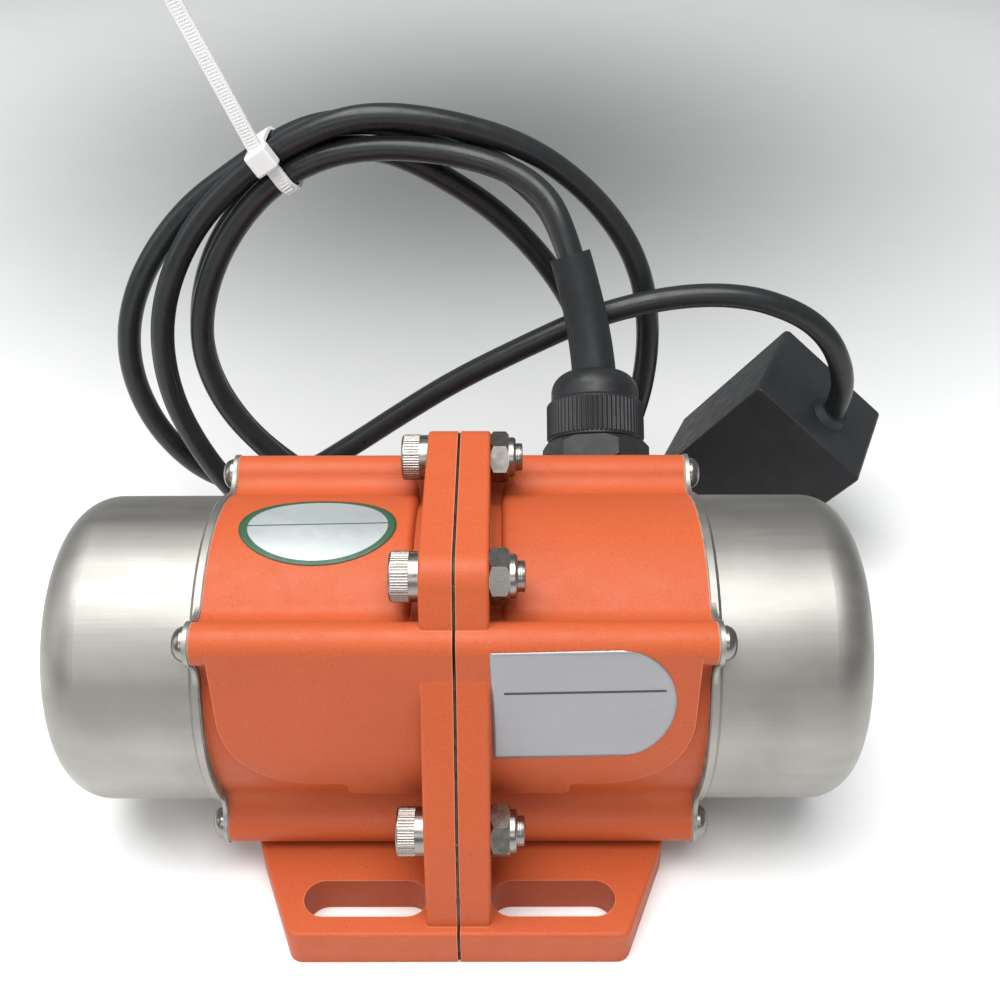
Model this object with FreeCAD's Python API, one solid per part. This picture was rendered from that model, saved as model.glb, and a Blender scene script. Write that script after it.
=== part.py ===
import FreeCAD, Part
import math
import os
from FreeCAD import Placement, Rotation, Vector

# Vibration motor: a foot-mounted induction motor with eccentric weights on both shaft ends.
# Millimetres. X runs along the shaft, -Y is the front, +Z is up.
# The origin is the centre of the foot slot pattern, on the base plane.

# Housing, driving dimensions
axis_height = 56.3
half_length = 67.0
barrel_r = 42.5
panel_rise = 2.5
housing_bore_r = 38.0
screw_circle_r = 51.6
rib_r = 5.6
rib_blend_r = 8.0
panel_blend_r = 6.0
gasket_thickness = 0.8

# Middle flange and its bolts
flange_thickness = 8.6
bolt_circle_r = 56.5
upper_bolt_angle = 27.5
lower_bolt_angle = 108.7
bolt_boss_r = 7.6
flange_edge_round = 1.0
bolt_d = 8.0
bolt_hole_d = 9.0
bolt_head_d = 13.0
bolt_head_height = 7.6
bolt_socket_af = 6.0
bolt_socket_depth = 4.0
bolt_end_proud = 2.0
bolt_head_round = 0.6
bolt_tip_round = 0.7
nut_af = 13.0
nut_height = 5.2
nut_collar_d = 11.6
nut_collar_height = 2.0
nut_collar_round = 0.8
nut_corner_chamfer = 1.0
nut_insert_wall = 1.0
nut_insert_cover = 0.4

# Feet
foot_thickness = 13.0
foot_half_depth = 69.5
foot_front_half_width = 47.0
foot_back_half_width = 59.7
foot_back_y = 38.0
foot_corner_r = 4.0
foot_edge_round = 1.2
slot_length = 35.0
slot_width = 11.5
slot_y = 57.7
pedestal_half_depth = 36.0
pedestal_set_back = 2.0

# Front and rear pads, top panel
panel_start = 12.0
panel_start_round = 2.2
pad_end_margin = 4.0
pad_low_angle = 13.0
pad_corner_r = 25.0
pad_step_end = 30.5
pad_step_low_angle = 22.0
pad_back_margin = 0.6

# End shields and bearings
shield_recess = 6.0
shield_depth = 21.0
web_thickness = 8.0
hub_r = 26.0
bearing_bore_d = 17.0
bearing_od = 40.0
bearing_width = 12.0
bearing_margin = 3.0
ball_d = 6.75
ball_count = 8
ring_wall = 3.5
shoulder_hole_r = 12.0
housing_circlip_width = 1.5
housing_circlip_groove = 1.0
housing_circlip_reach = 3.0
housing_circlip_gap = 12.0
cage_wall = 2.6
cage_pocket_clearance = 0.15
cage_width = 8.4

# Caps
cap_r = 44.6
cap_sheet = 1.0
cap_shaft_gap = 10.3
cap_corner_r = 12.5
cap_dome = 1.6
cap_bead_rise = 0.9
cap_bead_width = 0.6
cap_mouth_inset = 4.0
cap_flange_r = 45.4
cap_lobe_r = 5.9
cap_lobe_blend_r = 8.0
cap_flange_sheet = 1.2
cap_gasket_thickness = 0.3
cap_gasket_inset = 0.3
cap_screw_d = 5.0
cap_screw_length = 12.0
cap_screw_head_d = 9.2
cap_screw_head_height = 3.6
cap_screw_recess_w = 1.1

# Motor insides
stator_bore_r = 21.0
air_gap = 0.4
winding_inner_r = 24.0
winding_outer_r = 35.5
winding_overhang = 14.0
winding_gap = 2.0
end_ring_r = 19.0
end_ring_length = 6.0
core_shaft_d = 20.0
core_shaft_gap = 3.0
weight_shaft_d = 15.0
weight_shaft_gap = 2.0
shaft_tail = 7.0
fit_clearance = 0.03

# Eccentric weights
weight_r = 36.5
weight_thickness = 15.0
weight_shield_gap = 3.5
weight_gap = 1.0
weight_hub_r = 14.0
clamp_half_width = 11.0
clamp_height = 20.0
clamp_slit = 2.0
clamp_bolt_d = 6.0
clamp_bolt_z = 14.5
clamp_head_d = 10.0
clamp_head_height = 5.0
clamp_socket_af = 5.0
clamp_socket_depth = 2.5
key_width = 5.0
key_height = 5.0
key_length = 12.0
circlip_width = 1.2
circlip_rise = 3.0
circlip_groove = 0.8
circlip_opening = 40.0

# Places along the axis, all from the housing's end face
pad_end = half_length - pad_end_margin
shield_end = half_length - shield_recess
shield_start = shield_end - shield_depth
web_start = shield_end - web_thickness
bearing_inner = shield_end - bearing_margin - bearing_width
core_shaft_half_length = bearing_inner - core_shaft_gap
winding_end = shield_start - winding_gap
stator_half_length = winding_end - winding_overhang
weight_shaft_start = bearing_inner + bearing_width + weight_shaft_gap
weight_start = shield_end + weight_shield_gap
shaft_end = weight_start + 2 * weight_thickness + weight_gap + shaft_tail
cap_end = shaft_end + cap_shaft_gap

# Cable gland on the rear of the right half
gland_inset = 24.6
gland_x = half_length - gland_inset
gland_tilt = 42.0
gland_offset = 16.0
gland_boss_r = 17.0
gland_boss_start = 36.0
gland_seat_reach = 55.4
gland_spotface_r = 17.6
gland_washer = 1.5
gland_washer_r = 15.5
gland_thread_d = 25.0
gland_bore_r = 8.5
gland_hex_af = 29.7
gland_hex_height = 8.0
gland_hex_turn = 10.0
gland_nut_r = 15.2
gland_nut_height = 13.8
gland_dome_r = 14.1
gland_dome_height = 9.6
gland_neck_r = 7.4
gland_seal_r = 11.0
gland_seal_wall = 1.6
sleeve_side_r = 7.2
sleeve_deep_r = 9.0
sleeve_mouth_shrink = 0.5
sleeve_sink = 5.0
sleeve_mouth = Vector(34.4, 97.8, 135.2)

# Cords
cord_d = 8.0
cord_spacing = 8.2
cord_sink = 4.0
box_lead_end = Vector(1.0, -2.5, 9.5)

# Capacitor box, standing on its lower edge behind the right cap
box_a = 50.0
box_b = 64.0
box_depth = 45.0
box_edge_start = Vector(107.3, 101.9, 0.0)
box_yaw = 66.5
box_roll = 35.2
box_wall = 2.5
box_lid = 4.0
box_boss_r = 7.2
box_boss_height = 3.0
box_boss_a = 29.2
box_boss_depth = 18.2
capacitor_r = 16.0
capacitor_length = 44.0

# Cable tie
tie_at = Vector(-60.0, 118.0, 159.0)
tie_bundle_angle = 32.0
tie_width = 4.7
tie_sheet = 1.2
tie_inside = 17.2
tie_corner_r = 4.5
tie_head = 8.0
tie_head_height = 6.0
tie_tail_length = 78.0
tie_tail_angle = 80.0

# Power cable: mouth of the sleeve, then loose turns standing behind the motor
power_route = [
    (31.6, 98.9, 145.6), (25.2, 106.4, 153.6), (13.5, 112, 159), (-3, 114.3, 163),
    (-26, 114, 165.5), (-47.6, 113.9, 161.9), (-68, 113.9, 149.1),
    (-85, 109.5, 127), (-93, 105, 101), (-88, 101.5, 77), (-73, 98.5, 57),
    (-52, 96, 38), (-28, 95, 24), (0, 96, 18), (28, 96.5, 24), (50, 101, 42), (62, 109, 68),
    (65, 114, 96), (60, 119, 122), (45, 121, 144), (22, 120.5, 162.6), (-6, 116, 173),
    (-31, 114, 176), (-52, 113.9, 168.9), (-72.4, 113.9, 156.1), (-92, 110.5, 137),
    (-105, 106, 110), (-106, 101.5, 82), (-97, 98, 56), (-83, 96, 34), (-64, 94, 19), (-34, 93, 8),
    (-4, 94, 5.5), (24, 99, 10),
    (42, 108, 28), (50, 114, 54), (47, 116, 84), (35, 120, 112), (15, 123, 136),
    (-9, 124.5, 152.5), (-28, 123.5, 161.6), (-47.6, 122.1, 161.9), (-68, 122.1, 149.1),
    (-85, 119, 130), (-94, 115.5, 106), (-94, 113, 82), (-84, 113, 58), (-67, 114, 38), (-42, 113, 20),
    (-14, 112, 9),
    (14, 112, 5.5), (42, 113, 5),
]

# Capacitor cable: mouth of the sleeve, one loose turn, back behind the motor to the box
capacitor_route = [
    (31.3, 106.4, 141.6), (24.3, 115, 149), (10.5, 121.5, 157.5), (-9, 123.5, 166.5),
    (-31, 122.5, 171), (-52, 122.1, 168.9), (-72.4, 122.1, 156.1),
    (-96, 120, 140), (-115, 116, 115), (-122, 112, 89), (-116, 107, 64),
    (-101, 105, 44), (-82, 105, 36), (-62, 105, 42), (-42, 105, 56), (-24, 104, 70),
    (-4, 104, 84), (19, 104, 97), (43, 105, 109), (70, 106, 116), (94, 105, 117),
    (113, 104, 111), (125, 104, 101.5), (132, 105, 89),
]


def polar(radius, angle):
    """Point (y, z) round the shaft axis, the angle in degrees from +Y towards +Z."""
    a = math.radians(angle)
    return radius * math.cos(a), axis_height + radius * math.sin(a)


def across(x):
    """Maps (y, z) outline points onto the plane at x."""
    return lambda u, v: Vector(x, u, v)


def level(z):
    """Maps (x, y) outline points onto the plane at height z."""
    return lambda u, v: Vector(u, v, z)


def upright(y):
    """Maps (x, z) outline points onto the plane at depth y."""
    return lambda u, v: Vector(u, y, v)


def face_of(edges):
    return Part.Face(Part.Wire(edges))


def rod(radius, start, end, y=0.0, z=None):
    """Cylinder along X between two x positions."""
    z = axis_height if z is None else z
    low, high = min(start, end), max(start, end)
    return Part.makeCylinder(radius, high - low, Vector(low, y, z), Vector(1, 0, 0))


def ring(outer, inner, start, end):
    return rod(outer, start, end).cut(rod(inner, start, end))


def fuse(shapes):
    joined = shapes[0].multiFuse(shapes[1:]) if len(shapes) > 1 else shapes[0]
    return joined.removeSplitter()


def mirrored(shape):
    """The same piece on the other side of the middle seam."""
    return shape.mirror(Vector(0, 0, 0), Vector(1, 0, 0))


def mirrored_depth(shape):
    return shape.mirror(Vector(0, 0, 0), Vector(0, 1, 0))


def both_sides(shape):
    return Part.makeCompound([mirrored(shape), shape])


def unit(v):
    return v * (1.0 / v.Length)


def circle_belt(circles, place):
    """Closed outline pulled tight round circles (u, v, radius), listed in turning order."""
    count = len(circles)
    touch_out, touch_in = [], []
    for i in range(count):
        u0, v0, r0 = circles[i]
        u1, v1, r1 = circles[(i + 1) % count]
        du, dv = u1 - u0, v1 - v0
        gap = math.hypot(du, dv)
        du, dv = du / gap, dv / gap
        along = (r0 - r1) / gap
        side = math.sqrt(1.0 - along * along)
        nu, nv = du * along + dv * side, dv * along - du * side
        touch_out.append((u0 + r0 * nu, v0 + r0 * nv, nu, nv))
        touch_in.append((u1 + r1 * nu, v1 + r1 * nv, nu, nv))
    edges = []
    for i in range(count):
        u, v, r = circles[i]
        a, b = touch_in[i - 1], touch_out[i]
        if r > 0:
            first = math.atan2(a[3], a[2])
            sweep = (math.atan2(b[3], b[2]) - first) % (2 * math.pi)
            half_way = first + sweep / 2
            middle = place(u + r * math.cos(half_way), v + r * math.sin(half_way))
            edges.append(Part.Arc(place(a[0], a[1]), middle, place(b[0], b[1])).toShape())
        c = touch_in[i]
        edges.append(Part.LineSegment(place(b[0], b[1]), place(c[0], c[1])).toShape())
    return face_of(edges)


def rounded_polygon(corners, place):
    """Closed outline through sharp corners (u, v, radius), each rounded by its radius."""
    starts, ends, middles = [], [], []
    count = len(corners)
    for i in range(count):
        u, v, r = corners[i]
        p = Vector(u, v, 0)
        to_last = unit(Vector(corners[i - 1][0], corners[i - 1][1], 0) - p)
        to_next = unit(Vector(corners[(i + 1) % count][0], corners[(i + 1) % count][1], 0) - p)
        half = to_last.getAngle(to_next) / 2
        back = r / math.tan(half)
        starts.append(p + to_last * back)
        ends.append(p + to_next * back)
        middles.append(p + unit(to_last + to_next) * (r / math.sin(half) - r) if r > 0 else p)
    edges = []
    for i in range(count):
        if corners[i][2] > 0:
            arc = [place(q.x, q.y) for q in (starts[i], middles[i], ends[i])]
            edges.append(Part.Arc(*arc).toShape())
        a, b = ends[i], starts[(i + 1) % count]
        edges.append(Part.LineSegment(place(a.x, a.y), place(b.x, b.y)).toShape())
    return face_of(edges)


def lobed_face(x, base_r, lobe_r, blend_r):
    """Round outline with a lobe at each corner screw, blended in by hollow arcs."""
    base_reach, lobe_reach = base_r + blend_r, lobe_r + blend_r
    cosine = (base_reach ** 2 + screw_circle_r ** 2 - lobe_reach ** 2) / (2 * base_reach * screw_circle_r)
    spread = math.degrees(math.acos(cosine))
    place = across(x)
    edges = []
    for quarter in range(4):
        angle = 45 + 90 * quarter
        lobe = polar(screw_circle_r, angle)
        touches, hollows = [], []
        for turn in (-spread, spread):
            centre = polar(base_reach, angle + turn)
            du, dv = lobe[0] - centre[0], lobe[1] - centre[1]
            touch = (centre[0] + du * blend_r / lobe_reach, centre[1] + dv * blend_r / lobe_reach)
            foot = polar(base_r, angle + turn)
            mu, mv = (touch[0] + foot[0]) / 2 - centre[0], (touch[1] + foot[1]) / 2 - centre[1]
            length = math.hypot(mu, mv)
            hollow = (centre[0] + mu * blend_r / length, centre[1] + mv * blend_r / length)
            touches.append((foot, touch))
            hollows.append(hollow)
        (foot_in, lobe_in), (foot_out, lobe_out) = touches
        top = polar(screw_circle_r + lobe_r, angle)
        next_foot = polar(base_r, angle + 90 - spread)
        base_middle = polar(base_r, angle + 45)
        for a, b, c in (
            (foot_in, hollows[0], lobe_in),
            (lobe_in, top, lobe_out),
            (lobe_out, hollows[1], foot_out),
            (foot_out, base_middle, next_foot),
        ):
            edges.append(Part.Arc(place(*a), place(*b), place(*c)).toShape())
    return face_of(edges)


def fillet_where(shape, radius, test):
    """Rounds the edges that pass the test, by the radius."""
    chosen = [edge for edge in shape.Edges if test(edge)]
    return shape.makeFillet(radius, chosen)


def rib_positions():
    return [polar(screw_circle_r, 45 + 90 * quarter) for quarter in range(4)]


def bolt_positions():
    angles = (90 - upper_bolt_angle, 90 + upper_bolt_angle, 90 - lower_bolt_angle, 90 + lower_bolt_angle)
    return [polar(bolt_circle_r, angle) for angle in angles]


# Housing

seam = gasket_thickness / 2
flange_outer = seam + flange_thickness


def flange_face(x, inset=0.0):
    """Middle flange outline: foot corners, lower bolts and upper bolts."""
    (by, bz), (cy, cz) = bolt_positions()[2], bolt_positions()[0]
    r = bolt_boss_r - inset
    foot = foot_half_depth - inset
    circles = [(-foot, inset, 0.0), (foot, inset, 0.0), (by, bz, r), (cy, cz, r), (-cy, cz, r), (-by, bz, r)]
    return circle_belt(circles, across(x))


def middle_flange():
    plate = flange_face(seam).extrude(Vector(flange_thickness, 0, 0))
    outer_rim = lambda e: abs(e.BoundBox.XMin - flange_outer) < 0.01 and e.BoundBox.ZMax > 1.0
    return fillet_where(plate, flange_edge_round, outer_rim)


def foot_plate():
    front, back = foot_front_half_width, foot_back_half_width
    corners = [
        (seam, -foot_half_depth, 0.0), (front, -foot_half_depth, foot_corner_r),
        (back, -foot_back_y, foot_corner_r), (back, foot_back_y, foot_corner_r),
        (front, foot_half_depth, foot_corner_r), (seam, foot_half_depth, 0.0),
    ]
    plate = rounded_polygon(corners, level(0)).extrude(Vector(0, 0, foot_thickness))
    top_rim = lambda e: e.BoundBox.ZMin > foot_thickness - 0.01 and e.BoundBox.XMax > seam + 0.1
    return fillet_where(plate, foot_edge_round, top_rim)


def slot_cutter(y):
    r = slot_width / 2
    centre_x = flange_outer + slot_length / 2
    run = slot_length / 2 - r
    outline = circle_belt([(centre_x - run, y, r), (centre_x + run, y, r)], level(-1))
    return outline.extrude(Vector(0, 0, foot_thickness + 2))


def front_pad():
    """Flat pad that bridges rib and barrel, with a rounded lower corner and a lower step inboard."""
    panel_r = barrel_r + panel_rise
    low = axis_height - panel_r * math.sin(math.radians(pad_low_angle))
    step = axis_height - panel_r * math.sin(math.radians(pad_step_low_angle))
    rib_y, rib_z = polar(screw_circle_r, 135)
    top = rib_z + rib_r
    plan = rounded_polygon([
        (seam, step, 0.0), (pad_step_end, step, 2.0), (pad_step_end, low, 2.0),
        (pad_end, low, pad_corner_r), (pad_end, top, 0.0), (seam, top, 0.0),
    ], upright(-panel_r - 10)).extrude(Vector(0, panel_r, 0))
    section = circle_belt([(0, axis_height, panel_r), (rib_y, rib_z, rib_r)], across(seam))
    form = section.extrude(Vector(pad_end - seam, 0, 0))
    behind = Part.makeBox(pad_end, 2 * panel_r, 4 * panel_r, Vector(0, rib_y - pad_back_margin, 0))
    return form.common(plan).cut(behind)


def top_panel():
    """Raised sector between the upper ribs, rounded down to a valley beside the middle flange."""
    panel_r = barrel_r + panel_rise
    face = lobed_face(panel_start, panel_r, rib_r, panel_blend_r)
    form = face.extrude(Vector(half_length - panel_start, 0, 0))
    inner_rim = lambda e: e.BoundBox.XMax < panel_start + 0.01
    form = fillet_where(form, panel_start_round, inner_rim)
    rib_y, rib_z = polar(screw_circle_r, 45)
    sector = Part.makeBox(half_length, 2 * rib_y, 2 * panel_r, Vector(panel_start, -rib_y, rib_z - rib_r))
    return form.common(sector)


def gland_place(shape):
    """Moves a piece built along +Z to the gland's axis, which passes behind the shaft."""
    turn = Rotation(Vector(1, 0, 0), -(90 - gland_tilt))
    moved = shape.copy()
    moved.Placement = Placement(gland_origin(), turn)
    return moved


def gland_direction(deep, along):
    """Vector in the gland's own axes: deep is up across the axis, along runs out of the housing."""
    t = math.radians(gland_tilt)
    return Vector(0, along * math.cos(t) - deep * math.sin(t), along * math.sin(t) + deep * math.cos(t))


def gland_origin():
    return Vector(gland_x, 0, axis_height) - gland_direction(gland_offset, 0)


def housing_half(with_gland):
    pads = front_pad()
    pieces = [
        lobed_face(seam, barrel_r, rib_r, rib_blend_r).extrude(Vector(half_length - seam, 0, 0)),
        middle_flange(),
        foot_plate(),
        pads,
        mirrored_depth(pads),
        top_panel(),
        Part.makeBox(
            foot_back_half_width - pedestal_set_back - seam, 2 * pedestal_half_depth, axis_height / 2,
            Vector(seam, -pedestal_half_depth, 0)),
    ]
    if with_gland:
        boss_length = gland_seat_reach - gland_boss_start
        boss_foot = Vector(0, 0, gland_boss_start)
        pieces.append(gland_place(Part.makeCylinder(gland_boss_r, boss_length, boss_foot)))
    body = fuse(pieces)
    cutters = [
        rod(housing_bore_r, -1, shield_start),
        ring(housing_bore_r, hub_r, shield_start - 1, web_start),
        rod(bearing_od / 2, shield_start - 1, bearing_inner + bearing_width),
        rod(bearing_od / 2 + housing_circlip_groove, bearing_inner - housing_circlip_width, bearing_inner),
        rod(shoulder_hole_r, shield_start, half_length),
        rod(cap_r - cap_sheet - cap_mouth_inset, shield_end, half_length + 1),
        slot_cutter(-slot_y),
        slot_cutter(slot_y),
    ]
    for y, z in bolt_positions():
        cutters.append(rod(bolt_hole_d / 2, -1, flange_outer + 1, y, z))
    for y, z in rib_positions():
        cutters.append(rod(cap_screw_d / 2, half_length - cap_screw_length, half_length + 1, y, z))
    if with_gland:
        hole = Part.makeCylinder(gland_thread_d / 2, boss_length + 1, boss_foot)
        spotface = Part.makeCylinder(gland_spotface_r, boss_length, Vector(0, 0, gland_seat_reach))
        cutters += [gland_place(hole), gland_place(spotface)]
    return body.cut(Part.makeCompound(cutters)).removeSplitter()


def housing_gasket():
    plate = flange_face(-seam, inset=0.5).extrude(Vector(gasket_thickness, 0, 0))
    holes = [rod(housing_bore_r, -1, 1)]
    holes += [rod(bolt_hole_d / 2, -1, 1, y, z) for y, z in bolt_positions()]
    return plate.cut(Part.makeCompound(holes))


# Caps

cap_face = half_length + cap_gasket_thickness


def screw_holes(start, end):
    return [rod(cap_screw_d / 2, start, end, y, z) for y, z in rib_positions()]


def cap_gasket():
    plate = lobed_face(
        half_length, cap_flange_r - cap_gasket_inset, cap_lobe_r - cap_gasket_inset, cap_lobe_blend_r)
    plate = plate.extrude(Vector(cap_gasket_thickness, 0, 0))
    holes = screw_holes(half_length - 1, cap_face + 1)
    holes.append(rod(cap_r - cap_sheet - cap_mouth_inset, half_length - 1, cap_face + 1))
    return plate.cut(Part.makeCompound(holes))


def cap_profile(inset):
    """Half section of the drawn cap: bead at the brim, wall, corner and domed end."""
    r = cap_r - inset
    end = cap_end - inset
    bead = r + cap_bead_rise
    corner = cap_corner_r - inset
    start = cap_face
    bead_end = cap_face + cap_flange_sheet + cap_bead_width
    at = lambda x, radius: Vector(x, radius, 0)
    s = math.sqrt(0.5)
    flat = r - corner
    dome_r = (flat ** 2 + cap_dome ** 2) / (2 * cap_dome)
    half_turn = math.asin(flat / dome_r) / 2
    half_chord, half_sag = dome_r * math.sin(half_turn), dome_r * (1 - math.cos(half_turn))
    return face_of([
        Part.LineSegment(at(start, 0), at(start, bead)).toShape(),
        Part.LineSegment(at(start, bead), at(bead_end, bead)).toShape(),
        Part.LineSegment(at(bead_end, bead), at(bead_end + cap_bead_rise, r)).toShape(),
        Part.LineSegment(at(bead_end + cap_bead_rise, r), at(end - corner, r)).toShape(),
        Part.Arc(at(end - corner, r), at(end - corner + corner * s, r - corner + corner * s),
                 at(end, r - corner)).toShape(),
        Part.Arc(at(end, flat), at(end + cap_dome - half_sag, half_chord), at(end + cap_dome, 0)).toShape(),
        Part.LineSegment(at(end + cap_dome, 0), at(start, 0)).toShape(),
    ])


def end_cap():
    lift = Vector(0, 0, axis_height)
    outer = cap_profile(0.0).revolve(Vector(0, 0, 0), Vector(1, 0, 0), 360)
    inner = cap_profile(cap_sheet).revolve(Vector(0, 0, 0), Vector(1, 0, 0), 360)
    outer.translate(lift)
    inner.translate(lift)
    flange = lobed_face(cap_face, cap_flange_r, cap_lobe_r, cap_lobe_blend_r)
    flange = flange.extrude(Vector(cap_flange_sheet, 0, 0))
    holes = screw_holes(cap_face - 1, cap_face + cap_flange_sheet + 1)
    return outer.fuse(flange).cut(Part.makeCompound([inner] + holes)).removeSplitter()


def cap_screw(y, z):
    """Pan-head screw with a cross recess."""
    seat = cap_face + cap_flange_sheet
    r = cap_screw_head_d / 2
    h = cap_screw_head_height
    place = lambda u, v: Vector(seat + u, y + v, z)
    rim, flat = h * 0.3, r * 0.4
    edges = [
        Part.LineSegment(place(0, 0), place(0, r)).toShape(),
        Part.LineSegment(place(0, r), place(rim, r)).toShape(),
        Part.Arc(place(rim, r), place(h * 0.8, r * 0.78), place(h, flat)).toShape(),
        Part.LineSegment(place(h, flat), place(h, 0)).toShape(),
        Part.LineSegment(place(h, 0), place(0, 0)).toShape(),
    ]
    head = face_of(edges).revolve(Vector(0, y, z), Vector(1, 0, 0), 360)
    recess = [
        Part.makeBox(h, w, t, Vector(seat + h * 0.45, y - w / 2, z - t / 2))
        for w, t in ((r, cap_screw_recess_w), (cap_screw_recess_w, r))
    ]
    shank = rod(cap_screw_d / 2, seat - cap_screw_length + 1, seat, y, z)
    return head.cut(Part.makeCompound(recess)).fuse(shank).removeSplitter()


def cap_screws():
    return Part.makeCompound([cap_screw(y, z) for y, z in rib_positions()])


# Middle flange fasteners

def hexagon(af, place):
    corner = af / math.sqrt(3)
    turns = [math.radians(60 * i + 30) for i in range(7)]
    points = [place(corner * math.sin(a), corner * math.cos(a)) for a in turns]
    return Part.Face(Part.makePolygon(points))


def flange_bolt(y, z):
    """Socket-head bolt, its head on the left half."""
    head_end = -flange_outer - bolt_head_height
    head = rod(bolt_head_d / 2, -flange_outer, head_end, y, z)
    rim = lambda e: abs(e.BoundBox.XMax - head_end) < 0.01
    head = fillet_where(head, bolt_head_round, rim)
    socket = hexagon(bolt_socket_af, lambda u, v: Vector(head_end, y + u, z + v))
    socket = socket.extrude(Vector(bolt_socket_depth, 0, 0))
    end = flange_outer + nut_height + nut_collar_height + bolt_end_proud
    shank = rod(bolt_d / 2, -flange_outer, end, y, z)
    tip = lambda e: abs(e.BoundBox.XMin - end) < 0.01
    shank = fillet_where(shank, bolt_tip_round, tip)
    return head.cut(socket).fuse(shank).removeSplitter()


def flange_nut(y, z):
    """Lock nut: hexagon with turned corners and a round collar."""
    place = lambda u, v: Vector(flange_outer, y + u, z + v)
    body = hexagon(nut_af, place).extrude(Vector(nut_height, 0, 0))
    turned = rod(nut_af / math.sqrt(3) * 1.02, flange_outer, flange_outer + nut_height, y, z)
    turned = turned.makeChamfer(nut_corner_chamfer, [e for e in turned.Edges if len(e.Vertexes) == 1])
    collar_end = flange_outer + nut_height + nut_collar_height
    collar = rod(nut_collar_d / 2, flange_outer + nut_height, collar_end, y, z)
    rim = lambda e: abs(e.BoundBox.XMin - collar_end) < 0.01
    collar = fillet_where(collar, nut_collar_round, rim)
    bore = rod(bolt_d / 2, flange_outer - 1, collar_end + 1, y, z)
    insert_r = nut_collar_d / 2 - nut_insert_wall
    seat = rod(insert_r, flange_outer + nut_height, collar_end - nut_insert_cover, y, z)
    return body.common(turned).fuse(collar).cut(bore).cut(seat).removeSplitter()


def nut_insert(y, z):
    """Nylon locking ring held inside the nut's collar."""
    start = flange_outer + nut_height
    end = start + nut_collar_height - nut_insert_cover
    insert = rod(nut_collar_d / 2 - nut_insert_wall, start, end, y, z)
    return insert.cut(rod(bolt_d / 2, start, end, y, z))


def at_bolts(piece):
    return Part.makeCompound([piece(y, z) for y, z in bolt_positions()])


# Stator and bearings

def stator_core():
    return ring(housing_bore_r - fit_clearance, stator_bore_r, -stator_half_length, stator_half_length)


def stator_windings():
    end_turn = ring(winding_outer_r, winding_inner_r, stator_half_length, winding_end)
    rims = lambda e: abs(e.BoundBox.XMin - winding_end) < 0.01
    return both_sides(fillet_where(end_turn, 3.0, rims))


bearing_middle = bearing_inner + bearing_width / 2
ball_pitch_r = (bearing_bore_d + bearing_od) / 4


def ball_groove():
    centre = Vector(bearing_middle, 0, axis_height)
    return Part.makeTorus(ball_pitch_r, ball_d / 2 + fit_clearance, centre, Vector(1, 0, 0))


def bearing_outer_ring():
    inner = bearing_od / 2 - ring_wall
    outer = bearing_od / 2 - fit_clearance
    return ring(outer, inner, bearing_inner, bearing_inner + bearing_width).cut(ball_groove())


def bearing_inner_ring():
    bore = bearing_bore_d / 2
    return ring(bore + ring_wall, bore, bearing_inner, bearing_inner + bearing_width).cut(ball_groove())


def ball_positions():
    return [polar(ball_pitch_r, 360.0 * i / ball_count) for i in range(ball_count)]


def bearing_balls():
    balls = [Part.makeSphere(ball_d / 2, Vector(bearing_middle, y, z)) for y, z in ball_positions()]
    return Part.makeCompound(balls)


def bearing_cage():
    half = cage_width / 2
    wall = cage_wall / 2
    band = ring(ball_pitch_r + wall, ball_pitch_r - wall, bearing_middle - half, bearing_middle + half)
    pocket_r = ball_d / 2 + cage_pocket_clearance
    pockets = [Part.makeSphere(pocket_r, Vector(bearing_middle, y, z)) for y, z in ball_positions()]
    return band.cut(Part.makeCompound(pockets))


def housing_circlip():
    outer = bearing_od / 2 + housing_circlip_groove - fit_clearance
    inner = bearing_od / 2 - housing_circlip_reach
    clip = ring(outer, inner, bearing_inner - housing_circlip_width, bearing_inner - fit_clearance)
    half_gap = housing_circlip_gap / 2
    gap_start = Vector(bearing_inner - 2 * housing_circlip_width, -half_gap, axis_height)
    gap = Part.makeBox(4 * housing_circlip_width, housing_circlip_gap, outer + 1, gap_start)
    return clip.cut(gap)


# Rotor

def key_box(grow=0.0):
    """Key between the shaft and the fixed weight, on the shaft's lower side."""
    seat = weight_shaft_d / 2
    size = Vector(key_length, key_width + 2 * grow, key_height + grow)
    corner = Vector(weight_start + 1.0, -key_width / 2 - grow, axis_height - seat - key_height / 2 - grow)
    return Part.makeBox(size.x, size.y, size.z, corner)


circlip_start = weight_start + 2 * weight_thickness + weight_gap + fit_clearance


def shaft():
    centre = rod(core_shaft_d / 2, -core_shaft_half_length, core_shaft_half_length)
    journals = rod(bearing_bore_d / 2, -weight_shaft_start, weight_shaft_start)
    ends = rod(weight_shaft_d / 2, -shaft_end, shaft_end)
    tips = lambda e: abs(abs(e.BoundBox.XMin) - shaft_end) < 0.01
    ends = fillet_where(ends, 0.8, tips)
    body = fuse([centre, journals, ends])
    groove = ring(
        weight_shaft_d, weight_shaft_d / 2 - circlip_groove, circlip_start,
        circlip_start + circlip_width + fit_clearance)
    cuts = [key_box(), mirrored(key_box()), groove, mirrored(groove)]
    return body.cut(Part.makeCompound(cuts)).removeSplitter()


def rotor_core():
    return ring(stator_bore_r - air_gap, core_shaft_d / 2, -stator_half_length, stator_half_length)


def rotor_end_rings():
    one = ring(end_ring_r, core_shaft_d / 2 + 1.5, stator_half_length, stator_half_length + end_ring_length)
    return both_sides(one)


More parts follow.
